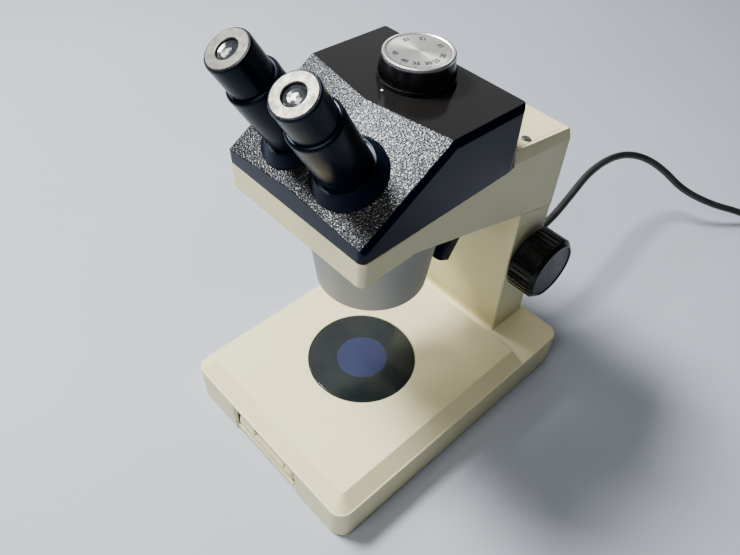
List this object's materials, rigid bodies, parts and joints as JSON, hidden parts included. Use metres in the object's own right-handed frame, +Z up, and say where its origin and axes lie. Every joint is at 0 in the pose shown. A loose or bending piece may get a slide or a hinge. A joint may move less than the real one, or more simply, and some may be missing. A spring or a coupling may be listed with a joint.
{
  "type": "stereo microscope",
  "caption": "Zoom stereo microscope with inclined adjustable eyepieces, side focus knobs, a top zoom dial and a low lit base with a glass stage.",
  "frame": {"origin": "middle of the base's footprint, on the table under the rubber feet", "axes": "+X to the user's right, +Y from the user towards the column, +Z up; the viewing axis is vertical at x 0, y -0.0283"},
  "size_m": [0.3824, 0.6716, 0.3871],
  "materials": {
    "cream_plastic": "fine sparkle texture",
    "grey_plastic": "smooth satin",
    "black_gloss": "polished",
    "black_textured": "fine hammered texture",
    "black_matte": "satin",
    "ribbed_black": "ribbed",
    "brushed_dial": "radially brushed",
    "silver_ring": "satin anodised",
    "steel": "ground",
    "brass": "turned",
    "zinc_plate": "zinc plated",
    "rubber": "matte",
    "cord_jacket": "satin",
    "frosted_glass": "frosted",
    "optic_glass": "coated",
    "bulb_glass": "clear",
    "mirror_metal": "polished",
    "ceramic": "glazed",
    "pin_metal": "nickel plated"
  },
  "bodies": {
    "base": {"base_housing": "cream_plastic", "bottom_plate": "zinc_plate", "rubber_feet": "rubber", "base_screws": "steel", "mirror_bowl": "mirror_metal", "stage_bulb": "bulb_glass", "bulb_socket": "ceramic", "transformer": "steel", "roller_bezel": "black_matte", "column": "cream_plastic", "guide_rods": "steel", "shaft_bushes": "brass", "strain_relief": "cord_jacket", "cord_run": "cord_jacket", "cord_coil": "cord_jacket", "plug_body": "cord_jacket", "plug_pins": "pin_metal"},
    "stage": {"stage_plate": "black_gloss", "stage_glass": "frosted_glass"},
    "roller": {"light_roller": "cream_plastic"},
    "focus_drive": {"focus_shaft": "steel", "focus_pinion": "brass", "knob_collars": "black_matte", "focus_knob_left": "ribbed_black", "focus_knob_right": "ribbed_black", "knob_cap_left": "black_matte", "knob_cap_right": "black_matte"},
    "head": {"head_housing": "cream_plastic", "top_cover": "black_textured", "arm_cover": "cream_plastic", "cover_screw": "steel", "nosepiece": "grey_plastic", "objective_mount": "black_matte", "objective_lenses": "optic_glass", "optics_bench": "zinc_plate", "focus_carriage": "zinc_plate", "focus_rack": "brass", "slide_skirt": "black_matte", "lamp_housing": "black_matte", "lamp_window": "frosted_glass", "head_bulb": "bulb_glass"},
    "zoom_control": {"zoom_knob": "ribbed_black", "zoom_dial": "brushed_dial", "zoom_shaft": "steel", "zoom_gear": "brass"},
    "drum": {"cam_drum": "brass"},
    "carrier": {"zoom_carrier": "black_matte", "zoom_lenses": "optic_glass"},
    "turret_right_body": {"turret_right": "black_gloss", "prism_right": "optic_glass", "eyepiece_tube_right": "black_gloss"},
    "turret_left_body": {"turret_left": "black_gloss", "prism_left": "optic_glass", "eyepiece_tube_left": "black_gloss"},
    "ocular_right": {"eyepiece_right": "black_gloss", "eye_ring_right": "silver_ring", "eye_lens_right": "optic_glass"},
    "ocular_left": {"eyepiece_left": "black_gloss", "eye_ring_left": "silver_ring", "eye_lens_left": "optic_glass"}
  },
  "joints": [
    {"name": "stage_lift", "type": "slide", "parent": "base", "child": "stage", "axis": [0, 0, 1], "range_m": [0, 0.012]},
    {"name": "roller_turn", "type": "hinge", "parent": "base", "child": "roller", "pos_m": [0, -0.1296, 0.0184], "axis": [1, 0, 0], "range_deg": [-40, 40]},
    {"name": "focus_knob", "type": "hinge", "parent": "base", "child": "focus_drive", "pos_m": [0, 0.1086, 0.1444], "axis": [1, 0, 0], "range_deg": [0, 250.8]},
    {"name": "focus_slide", "type": "slide", "parent": "base", "child": "head", "axis": [0, 0, 1], "range_m": [0, 0.035]},
    {"name": "zoom_knob_turn", "type": "hinge", "parent": "head", "child": "zoom_control", "pos_m": [0, 0.0133, 0.33], "axis": [0, 0, 1], "range_deg": [-150, 150]},
    {"name": "cam_drum_turn", "type": "hinge", "parent": "head", "child": "drum", "pos_m": [0, -0.0143, 0.25], "axis": [0, 0, 1], "range_deg": [-150, 150]},
    {"name": "zoom_carrier_slide", "type": "slide", "parent": "head", "child": "carrier", "axis": [0, 0, 1], "range_m": [-0.00785, 0.00785]},
    {"name": "interpupillary_right", "type": "hinge", "parent": "head", "child": "turret_right_body", "pos_m": [0.0262, -0.0705, 0.30546], "axis": [0.0926, -0.506, 0.8576], "range_deg": [0, 150]},
    {"name": "interpupillary_left", "type": "hinge", "parent": "head", "child": "turret_left_body", "pos_m": [-0.0262, -0.0705, 0.30546], "axis": [-0.0926, -0.506, 0.8576], "range_deg": [-150, 0]},
    {"name": "ocular_right_turn", "type": "hinge", "parent": "turret_right_body", "child": "ocular_right", "pos_m": [0.025, -0.0699, 0.30594], "axis": [0.053, -0.4932, 0.8683], "range_deg": [-170, 170]},
    {"name": "ocular_left_turn", "type": "hinge", "parent": "turret_left_body", "child": "ocular_left", "pos_m": [-0.025, -0.0699, 0.30594], "axis": [-0.053, -0.4932, 0.8683], "range_deg": [-170, 170]}
  ],
  "couplings": [
    {"joint": "focus_knob", "follows": "focus_slide", "rad_per_m": 125},
    {"joint": "zoom_knob_turn", "follows": "zoom_carrier_slide", "rad_per_m": 333.33},
    {"joint": "cam_drum_turn", "follows": "zoom_carrier_slide", "rad_per_m": -333.33},
    {"joint": "interpupillary_left", "follows": "interpupillary_right", "ratio": -1}
  ]
}
